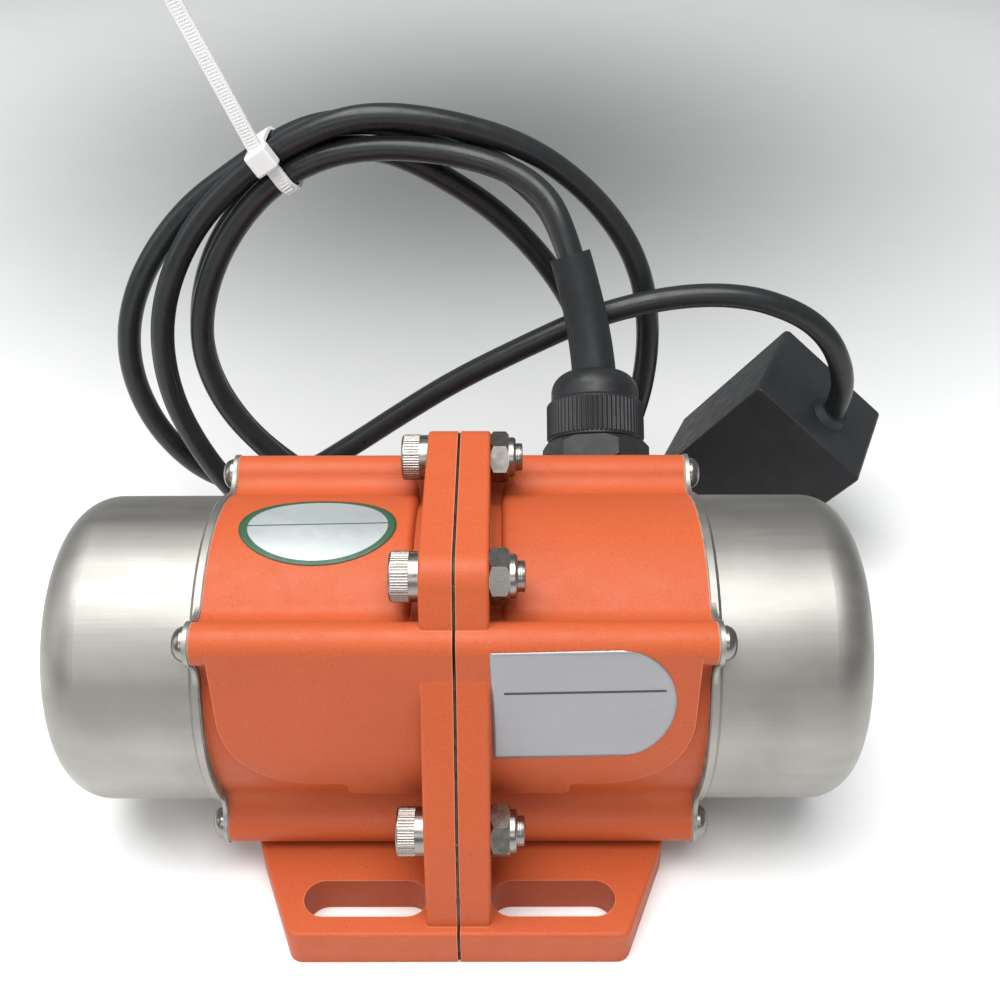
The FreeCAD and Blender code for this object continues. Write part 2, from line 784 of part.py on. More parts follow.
def eccentric_weight(start, keyed):
    """Half-disc weight with a slit clamp above the shaft."""
    end = start + weight_thickness
    disc = rod(weight_r, start, end)
    upper = Part.makeBox(
        weight_thickness + 2, 2 * weight_r + 2, weight_r + 1, Vector(start - 1, -weight_r - 1, axis_height))
    half_disc = disc.cut(upper)
    clamp = Part.makeBox(
        weight_thickness, 2 * clamp_half_width, clamp_height, Vector(start, -clamp_half_width, axis_height))
    body = fuse([half_disc, rod(weight_hub_r, start, end), clamp])
    slit = Part.makeBox(
        weight_thickness + 2, clamp_slit, clamp_height + 1, Vector(start - 1, -clamp_slit / 2, axis_height))
    bore = rod(weight_shaft_d / 2 + fit_clearance, start - 1, end + 1)
    cuts = [bore, slit, clamp_bolt(start, fit_clearance)]
    if keyed:
        cuts.append(key_box(fit_clearance))
    return body.cut(Part.makeCompound(cuts)).removeSplitter()


def clamp_bolt(start, grow=0.0):
    """Socket-head bolt that draws the clamp together, across the shaft."""
    x = start + weight_thickness / 2
    z = axis_height + clamp_bolt_z
    shank = Part.makeCylinder(
        clamp_bolt_d / 2 + grow, 2 * clamp_half_width, Vector(x, -clamp_half_width, z), Vector(0, 1, 0))
    head = Part.makeCylinder(
        clamp_head_d / 2, clamp_head_height,
        Vector(x, -clamp_half_width - clamp_head_height, z), Vector(0, 1, 0))
    if grow:
        return shank
    centre = Vector(x, -clamp_half_width - clamp_head_height, z)
    place = lambda u, v: Vector(centre.x + u, centre.y, centre.z + v)
    socket = hexagon(clamp_socket_af, place).extrude(Vector(0, clamp_socket_depth, 0))
    return head.cut(socket).fuse(shank).removeSplitter()


adjustable_start = weight_start + weight_thickness + weight_gap


def shaft_circlip():
    """Open retaining ring in the groove outside the adjustable weight."""
    outer = weight_shaft_d / 2 + circlip_rise
    inner = weight_shaft_d / 2 - circlip_groove + fit_clearance
    clip = ring(outer, inner, circlip_start + fit_clearance, circlip_start + circlip_width)
    reach = outer * math.tan(math.radians(circlip_opening / 2))
    gap = Part.makeBox(10, 2 * reach, outer + 1, Vector(circlip_start - 5, -reach, axis_height))
    return clip.cut(gap)


# Cable gland

washer_top = gland_seat_reach + gland_washer
hex_top = washer_top + gland_hex_height
nut_top = hex_top + gland_nut_height
dome_top = nut_top + gland_dome_height


def gland_washer_ring():
    start = Vector(0, 0, gland_seat_reach)
    washer = Part.makeCylinder(gland_washer_r, gland_washer, start)
    return gland_place(washer.cut(Part.makeCylinder(gland_thread_d / 2, gland_washer, start)))


def gland_body():
    """Threaded body with a hexagon, open through the middle."""
    thread = Part.makeCylinder(
        gland_thread_d / 2 - fit_clearance, washer_top - gland_boss_start, Vector(0, 0, gland_boss_start))
    place = lambda u, v: Vector(u, v, washer_top)
    block = hexagon(gland_hex_af, place).extrude(Vector(0, 0, gland_hex_height))
    block.rotate(Vector(0, 0, 0), Vector(0, 0, 1), -gland_hex_turn)
    turned = Part.makeCylinder(gland_hex_af / math.sqrt(3), gland_hex_height, Vector(0, 0, washer_top))
    turned = turned.makeChamfer(1.6, [e for e in turned.Edges if len(e.Vertexes) == 1])
    neck_height = gland_nut_height - 2
    neck = Part.makeCylinder(gland_seal_r + gland_seal_wall, neck_height, Vector(0, 0, hex_top))
    body = thread.fuse([block.common(turned), neck])
    bore = Part.makeCylinder(gland_bore_r, nut_top - gland_boss_start, Vector(0, 0, gland_boss_start))
    seat = Part.makeCylinder(gland_seal_r, gland_nut_height, Vector(0, 0, hex_top + 1))
    return gland_place(body.cut(Part.makeCompound([bore, seat])).removeSplitter())


def gland_seal():
    """Rubber sealing ring squeezed by the dome nut round the sleeve."""
    height = gland_nut_height - 2
    start = Vector(0, 0, hex_top + 1)
    outer = Part.makeCylinder(gland_seal_r - fit_clearance, height, start)
    return gland_place(outer.cut(Part.makeCylinder(gland_seal_r / 2, height, start)))


def gland_dome_nut():
    """Round nut with a bulging dome over the seal."""
    at = lambda r, z: Vector(r, 0, z)
    r = gland_nut_r
    shoulder = nut_top + gland_dome_height * 0.25
    outline = face_of([
        Part.LineSegment(at(0, hex_top), at(r - 0.6, hex_top)).toShape(),
        Part.LineSegment(at(r - 0.6, hex_top), at(r, hex_top + 0.6)).toShape(),
        Part.LineSegment(at(r, hex_top + 0.6), at(r, nut_top - 1.0)).toShape(),
        Part.LineSegment(at(r, nut_top - 1.0), at(gland_dome_r, nut_top)).toShape(),
        Part.LineSegment(at(gland_dome_r, nut_top), at(gland_dome_r, shoulder)).toShape(),
        Part.Arc(at(gland_dome_r, shoulder), at(gland_dome_r * 0.89, nut_top + gland_dome_height * 0.74),
                 at(gland_neck_r + 0.8, dome_top)).toShape(),
        Part.LineSegment(at(gland_neck_r + 0.8, dome_top), at(0, dome_top)).toShape(),
        Part.LineSegment(at(0, dome_top), at(0, hex_top)).toShape(),
    ])
    nut = outline.revolve(Vector(0, 0, 0), Vector(0, 0, 1), 360)
    inside_r = gland_seal_r + gland_seal_wall + fit_clearance
    inside = Part.makeCylinder(inside_r, gland_nut_height - 1, Vector(0, 0, hex_top))
    throat = Part.makeCylinder(gland_neck_r, gland_dome_height + 4, Vector(0, 0, nut_top - 3))
    nut = gland_place(nut.cut(Part.makeCompound([inside, throat])))
    return nut.cut(cable_sleeve()).removeSplitter()


def sleeve_curve(share):
    """Point and direction along the sleeve, which bends up from the gland's axis to its mouth."""
    foot = gland_origin() + gland_direction(0, dome_top - sleeve_sink)
    knee = foot + gland_direction(0, (sleeve_mouth - foot).Length * 0.4)
    near, far = foot + (knee - foot) * share, knee + (sleeve_mouth - knee) * share
    return near + (far - near) * share, unit(far - near)


def cable_sleeve():
    """Oval rubber sleeve round the two cables, leaning to the left."""
    rings = []
    for share in (0.0, 0.3, 0.65, 1.0):
        centre, along = sleeve_curve(share)
        side = unit(Vector(1, 0, 0) - along * along.x)
        deep = along.cross(side)
        half_deep = sleeve_deep_r - sleeve_mouth_shrink * share
        half_side = sleeve_side_r - sleeve_mouth_shrink * share
        ellipse = Part.Ellipse(centre + deep * half_deep, centre + side * half_side, centre)
        rings.append(Part.Wire([ellipse.toShape()]))
    return Part.makeLoft(rings, True)


# Cords

def cord_points(route, deep_offset, end):
    """Route from the sleeve's mouth, shifted off its middle, with an optional end point."""
    along = sleeve_curve(1.0)[1]
    deep = along.cross(unit(Vector(1, 0, 0) - along * along.x))
    start = sleeve_mouth - deep * deep_offset - along * cord_sink
    points = [start] + [Vector(*p) for p in route]
    return points + end


def cord_path(points, name):
    """Straight runs joined by tangent arcs, as large as the runs allow."""
    edges, last, radii = [], points[0], []
    for i in range(1, len(points) - 1):
        p = points[i]
        back, ahead = points[i - 1] - p, points[i + 1] - p
        shorter = min(back.Length, ahead.Length)
        back, ahead = unit(back), unit(ahead)
        turn = math.pi - back.getAngle(ahead)
        cut_back = 0.45 * shorter
        radius = cut_back / math.tan(turn / 2)
        radii.append(radius)
        a, b = p + back * cut_back, p + ahead * cut_back
        middle = p + unit(back + ahead) * (radius / math.cos(turn / 2) - radius)
        edges.append(Part.LineSegment(last, a).toShape())
        edges.append(Part.Arc(a, middle, b).toShape())
        last = b
    edges.append(Part.LineSegment(last, points[-1]).toShape())
    path = Part.Wire(edges)
    print(name, "length", round(path.Length, 1), "radii", [round(r) for r in radii])
    return path


def cord_tube(points, name):
    path = cord_path(points, name)
    start = unit(points[1] - points[0])
    section = Part.Wire([Part.makeCircle(cord_d / 2, points[0], start)])
    tube = path.makePipeShell([section], True, False)
    expected = math.pi * (cord_d / 2) ** 2 * path.Length
    print(name, "volume against section times length", round(tube.Volume / expected, 4))
    return tube


def power_cord():
    return cord_tube(cord_points(power_route, cord_spacing / 2, []), "power cord")


def capacitor_cord():
    end = [boss_mouth() + box_lead_end, boss_mouth() - box_lead_end * 0.2]
    return cord_tube(cord_points(capacitor_route, -cord_spacing / 2, end), "capacitor cord")


# Capacitor box

def box_frame():
    """Directions of the box: down-right edge, down-left edge and the level edge."""
    yaw, roll = math.radians(box_yaw), math.radians(box_roll)
    level_edge = Vector(math.cos(yaw), math.sin(yaw), 0)
    side = Vector(math.sin(yaw), -math.cos(yaw), 0)
    edge_a = side * math.cos(roll) + Vector(0, 0, -math.sin(roll))
    edge_b = side * -math.sin(roll) + Vector(0, 0, -math.cos(roll))
    return edge_a, edge_b, level_edge


def box_place(shape):
    """Moves a piece built in box axes (a, depth, up) to the standing box."""
    edge_a, edge_b, level_edge = box_frame()
    up = edge_b * -1
    corner = box_edge_start - edge_a * box_a
    moved = shape.copy()
    matrix = FreeCAD.Matrix(
        edge_a.x, level_edge.x, up.x, corner.x,
        edge_a.y, level_edge.y, up.y, corner.y,
        edge_a.z, level_edge.z, up.z, corner.z,
        0, 0, 0, 1)
    moved.Placement = Placement(matrix)
    return moved


def box_outline(start, end, inset):
    block = Part.makeBox(
        box_a - 2 * inset, end - start, box_b - 2 * inset, Vector(inset, start, inset))
    upright_edges = [e for e in block.Edges if abs(e.BoundBox.YLength - (end - start)) < 0.01]
    return block.makeFillet(2.0, upright_edges)


def capacitor_box():
    hollow = box_outline(box_lid - 1, box_depth - box_wall, box_wall)
    shell = box_outline(box_lid, box_depth, 0.0).cut(hollow)
    boss_at = Vector(box_boss_a, box_boss_depth, box_b)
    boss = Part.makeCone(box_boss_r, box_boss_r - 1.2, box_boss_height, boss_at)
    return box_place(shell.fuse(boss).removeSplitter())


def capacitor_lid():
    plate = box_outline(0.0, box_lid, 0.0)
    outer_rim = [e for e in plate.Edges if e.BoundBox.YMax < 0.01]
    plate = plate.makeFillet(0.8, outer_rim)
    spigot = box_outline(box_lid - 0.5, box_lid + 2.0, box_wall + 0.1)
    hollow = box_outline(box_lid, box_lid + 3.0, box_wall + 1.6)
    return box_place(plate.fuse(spigot).cut(hollow).removeSplitter())


def capacitor():
    middle = Vector(box_a / 2, box_depth / 2 + 1, (box_b - capacitor_length) / 2 - 1)
    can = Part.makeCylinder(capacitor_r, capacitor_length, Vector(middle.x, middle.y, box_wall))
    return box_place(can)


def boss_mouth():
    edge_a, edge_b, level_edge = box_frame()
    corner = box_edge_start - edge_a * box_a
    return corner + edge_a * box_boss_a + level_edge * box_boss_depth - edge_b * (box_b + box_boss_height)


# Cable tie

def tie_place(shape):
    """Moves a piece built with the cables along local X to the bundle."""
    moved = shape.copy()
    moved.Placement = Placement(tie_at, Rotation(Vector(0, 1, 0), -tie_bundle_angle))
    return moved


def cable_tie():
    """Closed strap round the four cables, a head on top and a long tail."""
    outer = tie_inside / 2 + tie_sheet
    square = lambda half, r, x: rounded_polygon(
        [(-half, -half, r), (half, -half, r), (half, half, r), (-half, half, r)], across(x))
    loop = square(outer, tie_corner_r + tie_sheet, -tie_width / 2).extrude(Vector(tie_width, 0, 0))
    inside = square(tie_inside / 2, tie_corner_r, -tie_width).extrude(Vector(2 * tie_width, 0, 0))
    head = Part.makeBox(
        tie_head, tie_head_height, tie_head,
        Vector(-tie_head / 2, -outer - tie_head_height + tie_sheet, outer - tie_head))
    head = head.makeFillet(1.0, head.Edges)
    loop = loop.fuse(head).cut(inside)
    turn = tie_tail_angle - 90
    tail = Part.makeBox(
        tie_width, tie_sheet, tie_tail_length,
        Vector(-tie_width / 2, -outer - tie_head_height / 2, outer - tie_head / 2))
    pivot = Vector(0, -outer, outer - tie_head / 2)
    tail.rotate(pivot, Vector(0, 1, 0), -turn)
    return tie_place(loop.fuse(tail).removeSplitter())


def build():
    power, lead = power_cord(), capacitor_cord()
    one_side = {
        "fixed_weight": eccentric_weight(weight_start, True),
        "adjustable_weight": eccentric_weight(adjustable_start, False),
        "adjustable_weight_bolt": clamp_bolt(adjustable_start),
        "end_cap": end_cap(),
        "cap_gasket": cap_gasket(),
        "cap_screws": cap_screws(),
        "bearing_outer_ring": bearing_outer_ring(),
        "bearing_inner_ring": bearing_inner_ring(),
        "bearing_balls": bearing_balls(),
        "bearing_cage": bearing_cage(),
    }
    parts = {
        "right_housing": housing_half(True),
        "left_housing": mirrored(housing_half(False)),
        "housing_gasket": housing_gasket(),
        "flange_bolts": at_bolts(flange_bolt),
        "flange_nuts": at_bolts(flange_nut),
        "flange_nut_inserts": at_bolts(nut_insert),
        "stator_core": stator_core(),
        "stator_windings": stator_windings(),
        "housing_circlips": both_sides(housing_circlip()),
        "shaft": shaft(),
        "rotor_core": rotor_core(),
        "rotor_end_rings": rotor_end_rings(),
        "weight_keys": both_sides(key_box()),
        "fixed_weight_bolts": both_sides(clamp_bolt(weight_start)),
        "shaft_circlips": both_sides(shaft_circlip()),
        "gland_washer": gland_washer_ring(),
        "gland_body": gland_body(),
        "gland_seal": gland_seal(),
        "gland_dome_nut": gland_dome_nut(),
        "cable_sleeve": cable_sleeve().cut(power).cut(lead),
        "power_cord": power,
        "capacitor_cord": lead,
        "capacitor_box": capacitor_box().cut(lead),
        "capacitor_lid": capacitor_lid(),
        "capacitor": capacitor(),
        "cable_tie": cable_tie(),
    }
    for name, shape in one_side.items():
        parts["right_" + name] = shape
        parts["left_" + name] = mirrored(shape)
    return parts


def main():
    os.makedirs("parts", exist_ok=True)
    for name, shape in build().items():
        if not shape.isValid():
            print("not valid:", name)
        print(name, "solids", len(shape.Solids), "volume", round(shape.Volume, 1))
        shape.exportStep("parts/%s.step" % name)


main()
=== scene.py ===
import math
import bpy
from mathutils import Matrix, Vector, noise

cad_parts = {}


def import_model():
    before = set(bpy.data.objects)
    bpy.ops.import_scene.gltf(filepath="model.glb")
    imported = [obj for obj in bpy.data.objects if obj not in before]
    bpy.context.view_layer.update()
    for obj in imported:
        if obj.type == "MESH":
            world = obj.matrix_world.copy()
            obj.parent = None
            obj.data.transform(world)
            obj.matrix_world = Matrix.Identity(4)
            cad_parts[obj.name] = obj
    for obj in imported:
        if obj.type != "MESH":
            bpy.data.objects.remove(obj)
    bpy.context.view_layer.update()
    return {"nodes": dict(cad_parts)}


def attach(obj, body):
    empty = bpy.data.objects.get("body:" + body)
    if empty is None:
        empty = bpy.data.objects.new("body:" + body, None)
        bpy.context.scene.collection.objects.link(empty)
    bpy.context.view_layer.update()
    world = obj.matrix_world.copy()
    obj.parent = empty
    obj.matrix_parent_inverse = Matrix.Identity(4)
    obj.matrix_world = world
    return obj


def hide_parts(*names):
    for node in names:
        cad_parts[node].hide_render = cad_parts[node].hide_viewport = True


# Vibration motor in a soft white studio. Metres; X along the shaft, -Y to the front, +Z up.

# Camera
camera_at = (0.01227, -0.25255, 0.30694)
camera_lens = 42.49
camera_pitch = 37.82
camera_yaw = -0.13
camera_roll = -0.20
backdrop_color = (0.86, 0.862, 0.86, 1.0)

# Cords: where they leave the sleeve, and the points of their routes
cord_diameter = 0.008
power_points = [
    (0.0356, 0.0924, 0.1337), (0.0316, 0.0989, 0.1456), (0.0252, 0.1064, 0.1536),
    (0.0135, 0.1120, 0.1590), (-0.0030, 0.1143, 0.1630), (-0.0260, 0.1140, 0.1655),
    (-0.0476, 0.1139, 0.1619), (-0.0680, 0.1139, 0.1491), (-0.0850, 0.1095, 0.1270),
    (-0.0930, 0.1050, 0.1010), (-0.0880, 0.1015, 0.0770), (-0.0730, 0.0985, 0.0570),
    (-0.0520, 0.0960, 0.0380), (-0.0280, 0.0950, 0.0240), (0.0000, 0.0960, 0.0180),
    (0.0280, 0.0965, 0.0240), (0.0500, 0.1010, 0.0420), (0.0620, 0.1090, 0.0680),
    (0.0650, 0.1140, 0.0960), (0.0600, 0.1190, 0.1220), (0.0450, 0.1210, 0.1440),
    (0.0220, 0.1205, 0.1626), (-0.0060, 0.1160, 0.1730), (-0.0310, 0.1140, 0.1760),
    (-0.0520, 0.1139, 0.1689), (-0.0724, 0.1139, 0.1561), (-0.0920, 0.1105, 0.1370),
    (-0.1050, 0.1060, 0.1100), (-0.1060, 0.1015, 0.0820), (-0.0970, 0.0980, 0.0560),
    (-0.0830, 0.0960, 0.0340), (-0.0640, 0.0940, 0.0190), (-0.0340, 0.0930, 0.0080),
    (-0.0040, 0.0940, 0.0055), (0.0240, 0.0990, 0.0100), (0.0420, 0.1080, 0.0280),
    (0.0500, 0.1140, 0.0540), (0.0470, 0.1160, 0.0840), (0.0350, 0.1200, 0.1120),
    (0.0150, 0.1230, 0.1360), (-0.0090, 0.1245, 0.1525), (-0.0280, 0.1235, 0.1616),
    (-0.0476, 0.1221, 0.1619), (-0.0680, 0.1221, 0.1491), (-0.0850, 0.1190, 0.1300),
    (-0.0940, 0.1155, 0.1060), (-0.0940, 0.1130, 0.0820), (-0.0840, 0.1130, 0.0580),
    (-0.0670, 0.1140, 0.0380), (-0.0420, 0.1130, 0.0200), (-0.0140, 0.1120, 0.0090),
    (0.0140, 0.1120, 0.0055), (0.0420, 0.1130, 0.0050),
]
lead_points = [
    (0.0356, 0.0997, 0.1299), (0.0313, 0.1064, 0.1416), (0.0243, 0.1150, 0.1490),
    (0.0105, 0.1215, 0.1575), (-0.0090, 0.1235, 0.1665), (-0.0310, 0.1225, 0.1710),
    (-0.0520, 0.1221, 0.1689), (-0.0724, 0.1221, 0.1561), (-0.0960, 0.1200, 0.1400),
    (-0.1150, 0.1160, 0.1150), (-0.1220, 0.1120, 0.0890), (-0.1160, 0.1070, 0.0640),
    (-0.1010, 0.1050, 0.0440), (-0.0820, 0.1050, 0.0360), (-0.0620, 0.1050, 0.0420),
    (-0.0420, 0.1050, 0.0560), (-0.0240, 0.1040, 0.0700), (-0.0040, 0.1040, 0.0840),
    (0.0190, 0.1040, 0.0970), (0.0430, 0.1050, 0.1090), (0.0700, 0.1060, 0.1160),
    (0.0940, 0.1050, 0.1170), (0.1130, 0.1040, 0.1110), (0.1250, 0.1040, 0.1015),
    (0.1320, 0.1050, 0.0890), (0.1354, 0.1075, 0.0762), (0.1342, 0.1105, 0.0648),
]

# Sizes shared with the solid model
axis_height = 0.0563
panel_r = 0.0450
rib_r = 0.0056
rib_reach = 0.0516
bolt_circle_r = 0.0565
bolt_boss_r = 0.0076
upper_bolt_angle = 27.5
lower_bolt_angle = 108.7
bolt_angles = (upper_bolt_angle, -upper_bolt_angle, lower_bolt_angle, -lower_bolt_angle)
bolt_knurl_size = {
    "radius": 0.00642, "depth": 0.0002, "count": 54, "start": 0.0112, "end": 0.0162, "soft": 0.0003}
thread_start = 0.0159
thread_length = 0.0022
thread_r = 0.00395
thread_crest = 0.00016
thread_root = 0.0001
gland_tilt = math.radians(42)
gland_offset = 0.016
gland_x = 0.0424
gland_at = Vector((
    gland_x, gland_offset * math.sin(gland_tilt), axis_height - gland_offset * math.cos(gland_tilt)))
gland_knurl_size = {
    "radius": 0.01518, "depth": 0.00045, "count": 66, "start": 0.0656, "end": 0.0779, "soft": 0.0008}
tie_at = Vector((-0.060, 0.118, 0.159))
tie_bundle_angle = math.radians(32)
tie_tail_lean = math.radians(10)
tie_outer = 0.0098
tie_head = 0.008
tie_head_height = 0.006

# Thin pieces on the housing
film_thickness = 0.0001
film_lift = 0.00012


def look_at_scene():
    """Camera of the photograph."""
    pitch, yaw, roll = (math.radians(a) for a in (camera_pitch, camera_yaw, camera_roll))
    forward = Vector((math.sin(yaw) * math.cos(pitch), math.cos(yaw) * math.cos(pitch), -math.sin(pitch)))
    level = Vector((math.cos(yaw), -math.sin(yaw), 0))
    upward = level.cross(forward)
    right = level * math.cos(roll) + upward * math.sin(roll)
    up = upward * math.cos(roll) - level * math.sin(roll)
    camera = bpy.data.objects.new("camera", bpy.data.cameras.new("camera"))
    camera.matrix_world = Matrix.Translation(camera_at) @ Matrix((right, up, -forward)).transposed().to_4x4()
    camera.data.lens = camera_lens
    camera.data.sensor_width = 36.0
    camera.data.clip_start = 0.01
    bpy.context.collection.objects.link(camera)
    bpy.context.scene.camera = camera


class Surface:
    """A node material: one principled shader, with short calls that add variation, wear and relief."""

    def __init__(self, name, color, roughness, metallic=0.0):
        self.material = bpy.data.materials.new(name)
        self.material.use_nodes = True
        self.nodes = self.material.node_tree.nodes
        self.links = self.material.node_tree.links
        self.shader = self.nodes["Principled BSDF"]
        self.coords = self.nodes.new("ShaderNodeTexCoord").outputs["Object"]
        self.color = self.value_color(color)
        self.set("Metallic", metallic)
        self.set("Roughness", roughness)

    def set(self, socket, value):
        self.shader.inputs[socket].default_value = value

    def value_color(self, color):
        node = self.nodes.new("ShaderNodeRGB")
        node.outputs[0].default_value = (*color, 1.0)
        self.links.new(node.outputs[0], self.shader.inputs["Base Color"])
        return node.outputs[0]

    def noise(self, scale, detail=3.0, stretch=(1, 1, 1), distortion=0.0):
        """Cloudy mask in the object's own coordinates."""
        mapping = self.nodes.new("ShaderNodeMapping")
        mapping.inputs["Scale"].default_value = stretch
        self.links.new(self.coords, mapping.inputs["Vector"])
        node = self.nodes.new("ShaderNodeTexNoise")
        node.inputs["Scale"].default_value = scale
        node.inputs["Detail"].default_value = detail
        node.inputs["Distortion"].default_value = distortion
        self.links.new(mapping.outputs["Vector"], node.inputs["Vector"])
        return node.outputs["Fac"]

    def pool(self, centre, size):
        """Mask that is high at one place and fades out softly to that distance from it."""
        mapping = self.nodes.new("ShaderNodeMapping")
        mapping.inputs["Location"].default_value = [-c / w for c, w in zip(centre, size)]
        mapping.inputs["Scale"].default_value = [1 / w for w in size]
        self.links.new(self.coords, mapping.inputs["Vector"])
        gradient = self.nodes.new("ShaderNodeTexGradient")
        gradient.gradient_type = "SPHERICAL"
        self.links.new(mapping.outputs["Vector"], gradient.inputs["Vector"])
        soft = self.span(gradient.outputs["Fac"], 0.0, 1.0, 0.0, 1.0)
        soft.node.interpolation_type = "SMOOTHSTEP"
        return soft

    def melt_into_backdrop(self, near):
        """Shows the backdrop's plain white to the camera where the mask is low."""
        far = self.span(near, 0.1, 0.6, 1.0, 0.0)
        path = self.nodes.new("ShaderNodeLightPath")
        amount = self.nodes.new("ShaderNodeMath")
        amount.operation = "MULTIPLY"
        self.links.new(path.outputs["Is Camera Ray"], amount.inputs[0])
        self.links.new(far, amount.inputs[1])
        glow = self.nodes.new("ShaderNodeEmission")
        glow.inputs["Color"].default_value = backdrop_color
        mix = self.nodes.new("ShaderNodeMixShader")
        self.links.new(amount.outputs["Value"], mix.inputs["Fac"])
        self.links.new(self.shader.outputs["BSDF"], mix.inputs[1])
        self.links.new(glow.outputs["Emission"], mix.inputs[2])
        self.links.new(mix.outputs["Shader"], self.nodes["Material Output"].inputs["Surface"])

    def span(self, value, low, high, to_low, to_high):
        """Maps one range of values onto another and clamps it there."""
        node = self.nodes.new("ShaderNodeMapRange")
        ends = {"From Min": low, "From Max": high, "To Min": to_low, "To Max": to_high}
        for socket, number in ends.items():
            node.inputs[socket].default_value = number
        self.links.new(value, node.inputs["Value"])
        return node.outputs["Result"]

    def tint(self, mask, color):
        """Blends the colour so far into another one where the mask is high."""
        node = self.nodes.new("ShaderNodeMix")
        node.data_type = "RGBA"
        self.links.new(mask, node.inputs["Factor"])
        self.links.new(self.color, node.inputs["A"])
        node.inputs["B"].default_value = (*color, 1.0)
        self.color = node.outputs["Result"]
        self.links.new(self.color, self.shader.inputs["Base Color"])

    def rough(self, value, low, high):
        """Lets the roughness vary between two values."""
        self.links.new(self.span(value, 0.3, 0.7, low, high), self.shader.inputs["Roughness"])

    def relief(self, height, distance, strength=1.0):
        """Adds a bump layer of that height in metres over the layers before it."""
        node = self.nodes.new("ShaderNodeBump")
        node.inputs["Distance"].default_value = distance
        node.inputs["Strength"].default_value = strength
        self.links.new(height, node.inputs["Height"])
        before = self.shader.inputs["Normal"].links
        if before:
            self.links.new(before[0].from_socket, node.inputs["Normal"])
        self.links.new(node.outputs["Normal"], self.shader.inputs["Normal"])

    def edge_wear_and_highlight(self, radius, low=0.02, high=0.25):
        """Mask that is high on outer edges, from the difference between soft and true normals."""
        bevel = self.nodes.new("ShaderNodeBevel")
        bevel.inputs["Radius"].default_value = radius
        true = self.nodes.new("ShaderNodeNewGeometry")
        dot = self.nodes.new("ShaderNodeVectorMath")
        dot.operation = "DOT_PRODUCT"
        self.links.new(bevel.outputs["Normal"], dot.inputs[0])
        self.links.new(true.outputs["Normal"], dot.inputs[1])
        return self.span(dot.outputs["Value"], 1.0 - low, 1.0 - high, 0.0, 1.0)


def orange_paint():
    """Baked paint with an orange-peel grain, lighter speckles painted as its glints, and lighter edges that
    are partly wear and partly a painted edge highlight.
    """
    s = Surface("orange_paint", (0.455, 0.0850, 0.0262), 0.5)
    s.set("Specular IOR Level", 0.24)
    s.tint(s.span(s.noise(28, 4), 0.35, 0.75, 0.0, 0.35), (0.400, 0.0690, 0.0205))
    # Painted highlight: fine lighter speckles that stand in for the glints of the orange-peel grain.
    s.tint(s.span(s.noise(2400, 2), 0.60, 0.74, 0.0, 0.4), (0.600, 0.190, 0.085))
    s.tint(s.span(s.noise(1300, 2, distortion=0.6), 0.60, 0.76, 0.0, 0.45), (0.285, 0.0465, 0.0160))
    # Lighter edges: partly wear, partly a painted highlight along the cast edges.
    s.tint(s.edge_wear_and_highlight(0.0005, 0.01, 0.12), (0.640, 0.220, 0.102))
    s.rough(s.noise(160, 4), 0.42, 0.56)
    s.relief(s.noise(1400, 3), 0.00008, 0.9)
    s.relief(s.noise(120, 3), 0.00025, 0.5)
    return s.material


def cap_steel():
    """Drawn steel with faint streaks round the cap."""
    s = Surface("cap_steel", (0.345, 0.335, 0.310), 0.46, metallic=1.0)
    s.tint(s.span(s.noise(22, 5, distortion=1.2), 0.42, 0.75, 0.0, 0.6), (0.244, 0.235, 0.215))
    s.tint(s.span(s.noise(60, 4, stretch=(0.25, 3, 3)), 0.5, 0.8, 0.0, 0.4), (0.385, 0.376, 0.348))
    s.rough(s.noise(45, 5, stretch=(0.3, 2, 2)), 0.42, 0.58)
    s.relief(s.noise(260, 5, stretch=(0.12, 4, 4)), 0.00006, 0.5)
    s.relief(s.noise(35, 3), 0.0004, 0.3)
    return s.material


def fastener_steel():
    s = Surface("fastener_steel", (0.280, 0.262, 0.238), 0.26, metallic=1.0)
    s.tint(s.span(s.noise(300, 4), 0.45, 0.75, 0.0, 0.2), (0.170, 0.156, 0.136))
    # Lighter edges: partly wear, partly a painted highlight on the edges of heads and nuts.
    s.tint(s.edge_wear_and_highlight(0.0003, 0.02, 0.2), (0.520, 0.505, 0.480))
    s.rough(s.noise(500, 3), 0.22, 0.34)
    s.relief(s.noise(1500, 3), 0.00002, 0.4)
    return s.material


def dull_rubber(name="dull_rubber", color=(0.0135, 0.0152, 0.0165), rough=0.6):
    s = Surface(name, color, rough)
    s.set("Specular IOR Level", 0.25)
    s.tint(s.span(s.noise(90, 4), 0.4, 0.75, 0.0, 0.5), tuple(c * 1.7 for c in color))
    s.rough(s.noise(240, 4), rough - 0.1, rough + 0.12)
    s.relief(s.noise(900, 3), 0.00004, 0.6)
    return s.material


def black_nylon():
    s = Surface("black_nylon", (0.0140, 0.0150, 0.0162), 0.45)
    s.set("Specular IOR Level", 0.3)
    s.tint(s.span(s.noise(140, 4), 0.45, 0.8, 0.0, 0.5), (0.0262, 0.0268, 0.0280))
    s.rough(s.noise(400, 3), 0.36, 0.52)
    s.relief(s.noise(1300, 3), 0.00003, 0.5)
    return s.material


def cable_jacket():
    s = Surface("cable_jacket", (0.0146, 0.0158, 0.0166), 0.34)
    s.set("Specular IOR Level", 0.35)
    s.tint(s.span(s.noise(70, 4), 0.5, 0.8, 0.0, 0.5), (0.0262, 0.0270, 0.0277))
    s.rough(s.noise(180, 4), 0.24, 0.42)
    s.relief(s.noise(220, 3), 0.00008, 0.4)
    return s.material


def box_plastic():
    s = Surface("box_plastic", (0.0154, 0.0166, 0.0181), 0.5)
    s.set("Specular IOR Level", 0.35)
    s.tint(s.span(s.noise(60, 4), 0.45, 0.8, 0.0, 0.5), (0.0277, 0.0293, 0.0316))
    s.rough(s.noise(250, 3), 0.42, 0.58)
    s.relief(s.noise(1600, 2), 0.00004, 0.7)
    return s.material


